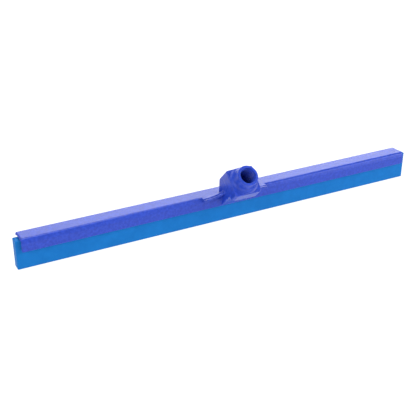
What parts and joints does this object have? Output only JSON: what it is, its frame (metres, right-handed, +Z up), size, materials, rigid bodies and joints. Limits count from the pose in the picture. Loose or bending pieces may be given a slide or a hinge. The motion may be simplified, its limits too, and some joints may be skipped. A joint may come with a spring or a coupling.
{
  "type": "floor squeegee head",
  "caption": "Long straight floor squeegee head with a hooked plastic beam, an angled threaded handle socket and a thick clip-on rubber blade.",
  "frame": {"origin": "middle of the blade's working edge, on the floor that the blade stands on", "axes": "+X along the beam, -Y to the front, where the handle socket leans, +Z up from the blade's edge to the beam"},
  "size_m": [0.617, 0.0725, 0.0923],
  "materials": {
    "frame_plastic": "ultramarine blue moulded polypropylene with a fine grain and a soft gloss",
    "carrier_plastic": "azure moulded polypropylene, matt",
    "blade_rubber": "azure thermoplastic rubber, smooth and satin"
  },
  "bodies": {
    "frame": {"beam": "frame_plastic", "neck": "frame_plastic", "socket_head": "frame_plastic", "socket_tube": "frame_plastic", "left_gusset": "frame_plastic", "right_gusset": "frame_plastic"},
    "blade": {"blade_carrier": "carrier_plastic", "blade": "blade_rubber"}
  },
  "joints": [
    {"name": "blade_clip", "type": "slide", "parent": "frame", "child": "blade", "axis": [0, 0, -1], "range_m": [0, 0.03]}
  ]
}
